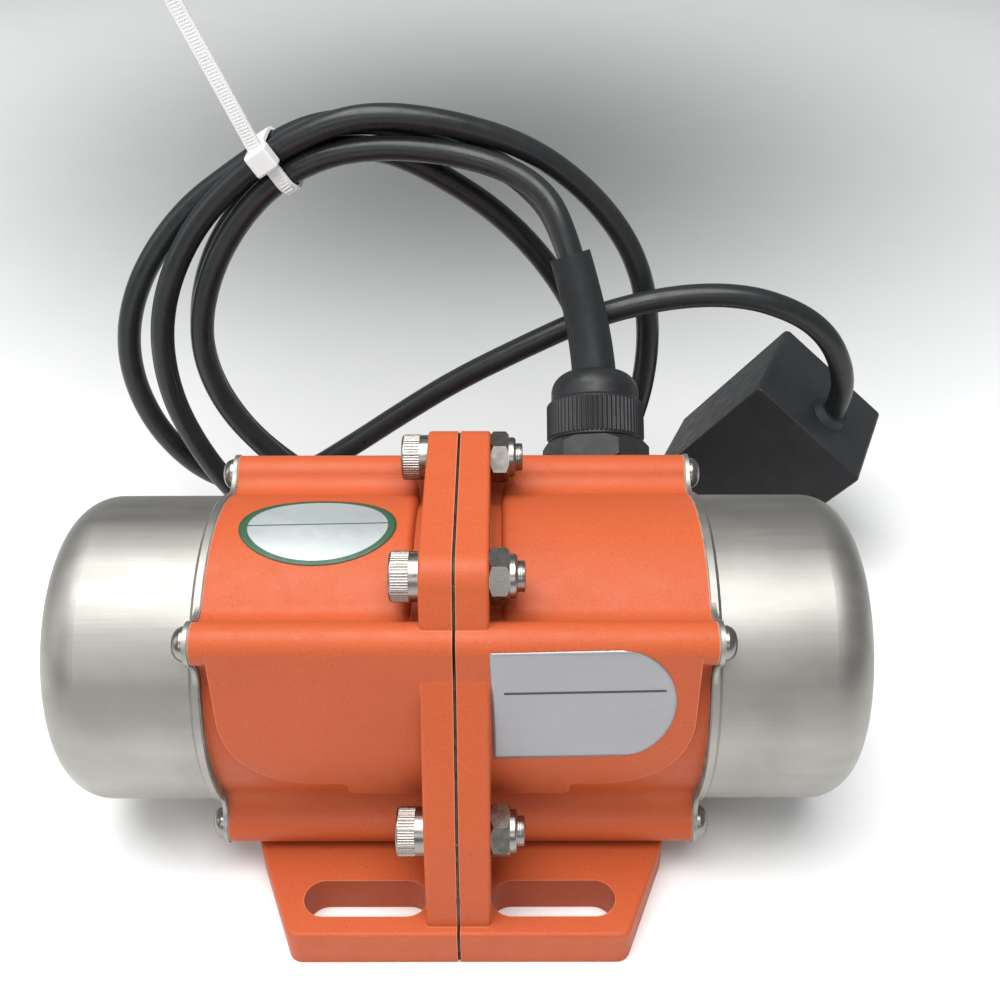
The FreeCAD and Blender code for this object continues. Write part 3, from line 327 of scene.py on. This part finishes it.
def white_nylon():
    """Slightly translucent white plastic."""
    s = Surface("white_nylon", (0.720, 0.729, 0.720), 0.35)
    s.set("Subsurface Weight", 0.2)
    s.set("Subsurface Radius", (0.0018, 0.0018, 0.0018))
    s.tint(s.span(s.noise(150, 3), 0.4, 0.8, 0.0, 0.4), (0.612, 0.621, 0.612))
    s.rough(s.noise(300, 3), 0.28, 0.42)
    s.relief(s.noise(600, 2), 0.00003, 0.4)
    return s.material


def plain_metal(name, color, rough):
    """Metal with darker clouds, for the pieces inside."""
    s = Surface(name, color, rough, metallic=1.0)
    s.tint(s.span(s.noise(180, 4), 0.45, 0.8, 0.0, 0.5), tuple(c * 0.6 for c in color))
    s.rough(s.noise(300, 3), rough - 0.08, rough + 0.12)
    s.relief(s.noise(700, 3), 0.00003, 0.5)
    return s.material


def lamination():
    """Stacked sheets, fine lines across the axis."""
    s = Surface("lamination", (0.34, 0.34, 0.35), 0.45, metallic=1.0)
    s.tint(s.span(s.noise(60, 3), 0.4, 0.8, 0.0, 0.6), (0.2, 0.19, 0.18))
    s.rough(s.noise(240, 3), 0.36, 0.55)
    s.relief(s.noise(900, 2, stretch=(2.5, 0.05, 0.05)), 0.0001, 0.8)
    return s.material


def winding():
    """Lacquered copper wire."""
    s = Surface("winding", (0.42, 0.15, 0.06), 0.3, metallic=0.6)
    s.tint(s.span(s.noise(120, 4, stretch=(2, 1, 1)), 0.4, 0.75, 0.0, 0.6), (0.2, 0.06, 0.03))
    s.rough(s.noise(300, 3), 0.22, 0.4)
    s.relief(s.noise(600, 2, stretch=(3, 0.6, 0.6)), 0.0003, 0.8)
    return s.material


def silver_label():
    s = Surface("silver_label", (0.288, 0.288, 0.302), 0.4, metallic=0.6)
    s.tint(s.span(s.noise(40, 4), 0.4, 0.8, 0.0, 0.4), (0.346, 0.346, 0.360))
    s.rough(s.noise(1500, 2), 0.32, 0.46)
    s.relief(s.noise(1800, 2), 0.00002, 0.5)
    return s.material


def paper(name, color):
    s = Surface(name, color, 0.45)
    s.tint(s.span(s.noise(80, 4), 0.4, 0.8, 0.0, 0.4), tuple(c * 0.88 for c in color))
    s.rough(s.noise(500, 3), 0.38, 0.55)
    s.relief(s.noise(900, 3), 0.00002, 0.5)
    return s.material


def foil():
    """Silvery film with lighter patches."""
    s = Surface("sticker_foil", (0.335, 0.372, 0.378), 0.42, metallic=0.35)
    s.tint(s.span(s.noise(30, 2, stretch=(0.6, 1.6, 1)), 0.35, 0.7, 0.0, 0.8), (0.500, 0.530, 0.528))
    s.rough(s.noise(500, 3), 0.36, 0.5)
    s.relief(s.noise(900, 3), 0.00002, 0.5)
    return s.material


def sealant():
    """Dark green sealant of the seam."""
    s = Surface("sealant", (0.010, 0.015, 0.012), 0.4)
    s.tint(s.span(s.noise(400, 3), 0.4, 0.7, 0.0, 0.7), (0.020, 0.040, 0.028))
    s.rough(s.noise(300, 3), 0.3, 0.55)
    s.relief(s.noise(600, 3), 0.0001, 0.6)
    return s.material


def cap_putty():
    """Greyish sealant that shows as a thin line between a cap's flange and its housing."""
    s = Surface("cap_putty", (0.255, 0.232, 0.200), 0.55)
    s.tint(s.span(s.noise(260, 4), 0.4, 0.7, 0.0, 0.8), (0.110, 0.098, 0.084))
    s.rough(s.noise(300, 3), 0.45, 0.65)
    s.relief(s.noise(700, 3), 0.00008, 0.6)
    return s.material


def floor_material():
    """Pale floor with a painted grey shade behind the cables, and lost in the backdrop far away."""
    s = Surface("floor", (0.92, 0.922, 0.915), 0.6)
    s.tint(s.span(s.noise(2.2, 2), 0.4, 0.8, 0.0, 0.25), (0.88, 0.885, 0.88))
    # Painted shade: a soft grey pool on the floor behind the cables, where the floor lies in dimmer light.
    s.tint(s.pool((-0.01, 0.50, 0.0), (0.55, 0.56, 1.0)), (0.175, 0.180, 0.178))
    s.rough(s.noise(30, 3), 0.55, 0.68)
    s.relief(s.noise(200, 3), 0.00005, 0.3)
    s.melt_into_backdrop(s.pool((0.0, 0.3, 0.0), (2.6, 2.6, 1.0)))
    return s.material


def mesh_object(name, points, faces, material, body="housing", smooth=True):
    """A piece from points and faces that moves with a body."""
    mesh = bpy.data.meshes.new(name)
    mesh.from_pydata([tuple(p) for p in points], [], faces)
    mesh.validate()
    obj = bpy.data.objects.new(name, mesh)
    bpy.context.collection.objects.link(obj)
    if smooth:
        mesh.shade_smooth()
    mesh.materials.append(material)
    if body:
        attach(obj, body)
    return obj


def cord(name, points, material, node):
    """A smooth cable with the route's points as its control points."""
    curve = bpy.data.curves.new(name, "CURVE")
    curve.dimensions = "3D"
    spline = curve.splines.new("NURBS")
    spline.points.add(len(points) - 1)
    for point, place in zip(spline.points, points):
        point.co = (*place, 1.0)
    spline.order_u = 3
    spline.use_endpoint_u = True
    spline.resolution_u = 12
    curve.bevel_depth = cord_diameter / 2
    curve.bevel_resolution = 8
    curve.use_fill_caps = True
    obj = bpy.data.objects.new(name, curve)
    bpy.context.collection.objects.link(obj)
    curve.materials.append(material)
    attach(obj, "housing")
    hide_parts(node)


def grid_faces(rows, columns, closed=False):
    """Faces between rows of points, round each row as well if it is closed."""
    faces = []
    for i in range(rows - 1):
        for j in range(columns if closed else columns - 1):
            k = (j + 1) % columns
            faces.append((i * columns + j, i * columns + k, (i + 1) * columns + k, (i + 1) * columns + j))
    return faces


def fluted_tube(name, place, material, radius, depth, count, start, end, soft):
    """Straight knurl: a tube of ridges round a local Z axis, its ends sunk under the surface."""
    columns = count * 6
    sunk = radius - 0.6 * depth
    points = []
    for z, ridged in ((start, False), (start + soft, True), (end - soft, True), (end, False)):
        for j in range(columns):
            angle = 2 * math.pi * j / columns
            r = radius + depth * (0.5 + 0.5 * math.cos(count * angle)) if ridged else sunk
            points.append(place @ Vector((r * math.cos(angle), r * math.sin(angle), z)))
    return mesh_object(name, points, grid_faces(4, columns, True), material, smooth=False)


def bolt_centre(angle):
    """Place of a flange bolt in the seam plane, its angle in degrees from straight up to the front."""
    a = math.radians(angle)
    return Vector((0, -bolt_circle_r * math.sin(a), axis_height + bolt_circle_r * math.cos(a)))


def bolt_knurls(material):
    """Knurled rings round the bolt heads, on the left of the flange."""
    for i, angle in enumerate(bolt_angles):
        place = Matrix.Translation(bolt_centre(angle)) @ Matrix.Rotation(math.radians(-90), 4, "Y")
        knurl = fluted_tube("bolt_knurl_%d" % (i + 1), place, material, **bolt_knurl_size)


def bolt_threads(material):
    """Rounded thread rings on the ends that stand out of the nuts."""
    rows, columns = 17, 40
    for i, angle in enumerate(bolt_angles):
        centre = bolt_centre(angle)
        points = []
        for k in range(rows):
            x = thread_start + thread_length * k / (rows - 1)
            r = thread_r + (thread_crest if k % 4 in (2, 3) else -thread_root)
            for j in range(columns):
                a = 2 * math.pi * j / columns
                points.append(centre + Vector((x, r * math.cos(a), r * math.sin(a))))
        thread = mesh_object("bolt_thread_%d" % (i + 1), points, grid_faces(rows, columns, True), material)


def gland_matrix():
    """Local Z runs out of the housing along the gland."""
    return Matrix.Translation(gland_at) @ Matrix.Rotation(-(math.pi / 2 - gland_tilt), 4, "X")


def gland_knurl(material):
    knurl = fluted_tube("gland_knurl", gland_matrix(), material, **gland_knurl_size)


def pad_section(s):
    """Point and outward normal on the front pad, s metres up from where it turns flat."""
    axis = Vector((0, 0, axis_height))
    rib = axis + Vector((0, -rib_reach * math.sqrt(0.5), rib_reach * math.sqrt(0.5)))
    spread = panel_r - rib_r
    lean = math.radians(45) - math.acos(spread / rib_reach)
    flat = math.sqrt(rib_reach ** 2 - spread ** 2)
    if s <= 0:
        a = lean + s / panel_r
        out = Vector((0, -math.cos(a), math.sin(a)))
        return axis + out * panel_r, out
    if s <= flat:
        out = Vector((0, -math.cos(lean), math.sin(lean)))
        return axis + out * panel_r + Vector((0, out.z, -out.y)) * s, out
    a = lean + (s - flat) / rib_r
    out = Vector((0, -math.cos(a), math.sin(a)))
    return rib + out * rib_r, out


def front_label(material, ink):
    """Bare silver label on the right half's front pad, with a round right end and one printed rule."""
    left, round_start, right = 0.0094, 0.0430, 0.0574
    bottom, top = -0.0012, 0.0352
    rule_left, rule_right = 0.0128, 0.0545
    rule_bottom, rule_top = 0.0214, 0.0221
    rule_lift = 0.00019
    turn = math.radians(1.3)
    middle_x, middle_s = (left + right) / 2, (bottom + top) / 2
    rows, columns = 40, 48

    def round_end(s):
        share = (s - middle_s) / ((top - bottom) / 2)
        return round_start + (right - round_start) * math.sqrt(max(1.0 - share ** 2, 0.0))

    def patch(name, start, end_at, low, high, lift, paint):
        points = []
        for i in range(rows):
            s = low + (high - low) * i / (rows - 1)
            up = s - middle_s
            for j in range(columns):
                x = start + (end_at(s) - start) * j / (columns - 1) - middle_x
                p, n = pad_section(middle_s + x * math.sin(turn) + up * math.cos(turn))
                p.x = middle_x + x * math.cos(turn) - up * math.sin(turn)
                points.append(p + n * lift)
        piece = mesh_object(name, points, grid_faces(rows, columns), paint)
        thicken(piece)

    patch("front_label", left, round_end, bottom, top, film_lift, material)
    patch("label_rule", rule_left, lambda s: rule_right, rule_bottom, rule_top, rule_lift, ink)


def thicken(obj):
    """Gives a film its thickness."""
    solid = obj.modifiers.new("thickness", "SOLIDIFY")
    solid.thickness = film_thickness
    solid.offset = 0.0


def oval_sticker(silver, green):
    """Bare oval sticker with a coloured border and one rule, on the left half's top panel."""
    centre_x, centre_turn = -0.0387, math.radians(-1.0)
    half_x, half_y = 0.0218, 0.0146
    rule_half_width, rule_drop, rule_slope, rule_columns = 0.00018, 0.0006, 0.03, 21
    shares = (0.04, 0.12, 0.25, 0.4, 0.55, 0.7, 0.8, 0.89, 0.95, 1.0)
    border = shares.index(0.89)
    columns = 96

    def on_panel(across, along, rise):
        turn = centre_turn + along / panel_r
        r = panel_r + rise
        return Vector((centre_x + across, -r * math.sin(turn), axis_height + r * math.cos(turn)))

    points = []
    for share in shares:
        for j in range(columns):
            a = 2 * math.pi * j / columns
            points.append(on_panel(half_x * share * math.cos(a), half_y * share * math.sin(a), film_lift))
    middle = tuple(reversed(range(columns)))
    sticker = mesh_object("oval_sticker", points, grid_faces(len(shares), columns, True) + [middle], silver)
    sticker.data.materials.append(green)
    for polygon in sticker.data.polygons:
        ring = polygon.index // columns
        polygon.material_index = 1 if border <= ring < len(shares) - 1 else 0
    reach = half_x * shares[border]
    points = []
    for side in (-rule_half_width, rule_half_width):
        for j in range(rule_columns):
            x = -reach + 2 * reach * j / (rule_columns - 1)
            points.append(on_panel(x, side - rule_drop - x * rule_slope, film_lift * 1.6))
    rule = mesh_object("sticker_rule", points, grid_faces(2, rule_columns), green)
    for piece in (sticker, rule):
        thicken(piece)


def seam_sealant(material):
    """Sealant squeezed out of the seam: an uneven bead over the flange's rim and a drop at the foot."""
    step, columns = 0.0012, 8
    bead_r, swell_r, drop_r, drop_length = 0.0004, 0.0003, 0.0007, 4
    sink = 0.0005
    rim = bolt_boss_r
    upper, lower = bolt_centre(upper_bolt_angle), bolt_centre(lower_bolt_angle)
    side = (lower - upper).normalized()
    out = Vector((0, side.z, -side.y))
    path = [Vector((0, 0.02 - 0.004 * i, upper.z + rim)) for i in range(11)]
    path += [upper + Vector((0, -math.sin(a), math.cos(a))) * rim for a in (0.0, 0.45, 0.9, 1.3)]
    path += [upper.lerp(lower, t / 16) + out * rim for t in range(17)]
    path += [lower + out * rim, Vector((0, -0.0655, 0.02)), Vector((0, -0.0690, 0.0035))]
    spread = []
    for a, b in zip(path, path[1:]):
        steps = max(2, int((b - a).length / step))
        spread += [a.lerp(b, k / steps) for k in range(steps)]
    points = []
    last = len(spread) - 1
    for k, p in enumerate(spread):
        along = (spread[min(k + 1, last)] - spread[max(k - 1, 0)]).normalized()
        normal = Vector((0, along.z, -along.y))
        if normal.y > 0 and p.z < 0.1 or normal.z < 0 and p.z >= 0.1:
            normal = -normal
        drop = max(0.0, 1 - (last - k) / drop_length)
        radius = bead_r + swell_r * max(noise.noise(p * 420), -0.6) + drop_r * drop
        centre = p - normal * sink
        for j in range(columns):
            a = 2 * math.pi * j / columns
            across = Vector((1, 0, 0)) * radius * 1.1 * math.cos(a)
            points.append(centre + across + normal * radius * math.sin(a))
    bead = mesh_object("seam_sealant", points, grid_faces(len(spread), columns, True), material)


def tie_ribs(material):
    """Fine cross ribs along the tail of the cable tie and down the front of its loop."""
    loop = Matrix.Translation(tie_at) @ Matrix.Rotation(-tie_bundle_angle, 4, "Y")
    tail = loop @ Matrix.Translation((0, -tie_outer, tie_outer - tie_head / 2))
    tail = tail @ Matrix.Rotation(tie_tail_lean, 4, "Y")
    pitch, half_long, half_wide, rise = 0.00103, 0.0015, 0.00027, 0.00014
    profile = ((rise, half_wide), (-rise, half_wide / 2), (-rise, -half_wide / 2), (rise, -half_wide))
    ribs_at = [(tail, Vector((0, -tie_head_height / 2, i * pitch))) for i in range(5, 75)]
    ribs_at += [(loop, Vector((0, -tie_outer, i * pitch))) for i in range(-7, 2)]
    points, faces = [], []
    for place, middle in ribs_at:
        k = len(points)
        for x in (-half_long, half_long):
            points += [place @ (middle + Vector((x, y, z))) for y, z in profile]
        faces += [(k + j, k + (j + 1) % 4, k + 4 + (j + 1) % 4, k + 4 + j) for j in range(4)]
        faces += [(k, k + 3, k + 2, k + 1), (k + 4, k + 5, k + 6, k + 7)]
    ribs = mesh_object("tie_ribs", points, faces, material, smooth=False)


def assign(nodes, material):
    """Gives solid pieces their material."""
    for name in nodes:
        obj = frame["nodes"][name]
        obj.data.materials.clear()
        obj.data.materials.append(material)


def dress_frame():
    """Materials of all solid pieces, and the fine pieces that sit on them."""
    steel = fastener_steel()
    ground = plain_metal("ground_steel", (0.62, 0.62, 0.62), 0.22)
    spring = plain_metal("spring_steel", (0.12, 0.12, 0.13), 0.4)
    iron = plain_metal("machined_iron", (0.30, 0.30, 0.30), 0.42)
    rubber = dull_rubber()
    gland = black_nylon()
    laminated = lamination()
    sides = ("left_", "right_")
    assign(["left_housing", "right_housing"], orange_paint())
    assign(["left_end_cap", "right_end_cap"], cap_steel())
    assign(["flange_bolts", "flange_nuts", "fixed_weight_bolts"], steel)
    assign([s + n for s in sides for n in ("cap_screws", "adjustable_weight_bolt")], steel)
    assign([s + n for s in sides for n in ("fixed_weight", "adjustable_weight")], iron)
    assign([s + "bearing_" + n for s in sides for n in ("outer_ring", "inner_ring", "balls")], ground)
    assign(["shaft", "weight_keys"], ground)
    assign([s + "bearing_cage" for s in sides], plain_metal("cage_brass", (0.62, 0.44, 0.18), 0.32))
    assign(["housing_circlips", "shaft_circlips"], spring)
    assign(["rotor_end_rings"], plain_metal("cast_aluminium", (0.66, 0.66, 0.67), 0.4))
    assign(["stator_core", "rotor_core"], laminated)
    assign(["stator_windings"], winding())
    assign(["housing_gasket"], dull_rubber("gasket", (0.008, 0.010, 0.009), 0.5))
    assign(["left_cap_gasket", "right_cap_gasket"], cap_putty())
    assign(["gland_seal", "gland_washer", "cable_sleeve"], rubber)
    assign(["gland_body", "gland_dome_nut"], gland)
    assign(["capacitor_box", "capacitor_lid"], box_plastic())
    nylon = white_nylon()
    assign(["cable_tie", "flange_nut_inserts"], nylon)
    tie_ribs(nylon)
    assign(["capacitor"], paper("capacitor_can", (0.75, 0.75, 0.72)))
    bolt_knurls(steel)
    bolt_threads(steel)
    gland_knurl(gland)


def studio():
    """Pale floor, three soft lights and a plain backdrop."""
    corners = [(-3, -1.5, 0), (3, -1.5, 0), (3, 3.5, 0), (-3, 3.5, 0)]
    floor = mesh_object("floor", corners, [(0, 1, 2, 3)], floor_material(), None)
    floor.location.z = -0.0002
    area_light("overhead", (-0.1, -0.12, 1.0), (0, 0.0, 0.05), 1.0, 0.7, 16.5)
    area_light("front", (-0.2, -1.0, 0.66), (0, 0, 0.06), 1.0, 0.35, 2.4)
    area_light("left", (-1.1, -0.1, 0.6), (0, 0, 0.06), 0.6, 0.8, 2.4)
    world()


def area_light(name, at, towards, width, height, power):
    light = bpy.data.lights.new(name, "AREA")
    light.shape = "RECTANGLE"
    light.size, light.size_y = width, height
    light.energy = power
    obj = bpy.data.objects.new(name, light)
    obj.location = at
    obj.rotation_euler = (Vector(towards) - Vector(at)).to_track_quat("-Z", "Y").to_euler()
    bpy.context.collection.objects.link(obj)


def world():
    """Plain white to the camera, softer as a light."""
    bpy.context.scene.world = bpy.data.worlds.new("studio")
    bpy.context.scene.world.use_nodes = True
    tree = bpy.context.scene.world.node_tree
    ground = tree.nodes["Background"]
    ground.inputs["Color"].default_value = (0.95, 0.97, 1.0, 1.0)
    ground.inputs["Strength"].default_value = 0.32
    white = tree.nodes.new("ShaderNodeBackground")
    white.inputs["Color"].default_value = backdrop_color
    path = tree.nodes.new("ShaderNodeLightPath")
    most = tree.nodes.new("ShaderNodeMath")
    most.operation = "MAXIMUM"
    mix = tree.nodes.new("ShaderNodeMixShader")
    tree.links.new(path.outputs["Is Camera Ray"], most.inputs[0])
    tree.links.new(path.outputs["Is Transmission Ray"], most.inputs[1])
    tree.links.new(most.outputs["Value"], mix.inputs["Fac"])
    tree.links.new(ground.outputs["Background"], mix.inputs[1])
    tree.links.new(white.outputs["Background"], mix.inputs[2])
    tree.links.new(mix.outputs["Shader"], tree.nodes["World Output"].inputs["Surface"])


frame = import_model()
look_at_scene()
jacket = cable_jacket()
cord("power_cable", power_points, jacket, "power_cord")
cord("capacitor_lead", lead_points, jacket, "capacitor_cord")
dress_frame()
front_label(silver_label(), paper("label_ink", (0.03, 0.03, 0.035)))
oval_sticker(foil(), paper("sticker_green", (0.022, 0.078, 0.038)))
seam_sealant(sealant())
studio()
bpy.context.scene.view_settings.view_transform = "Standard"
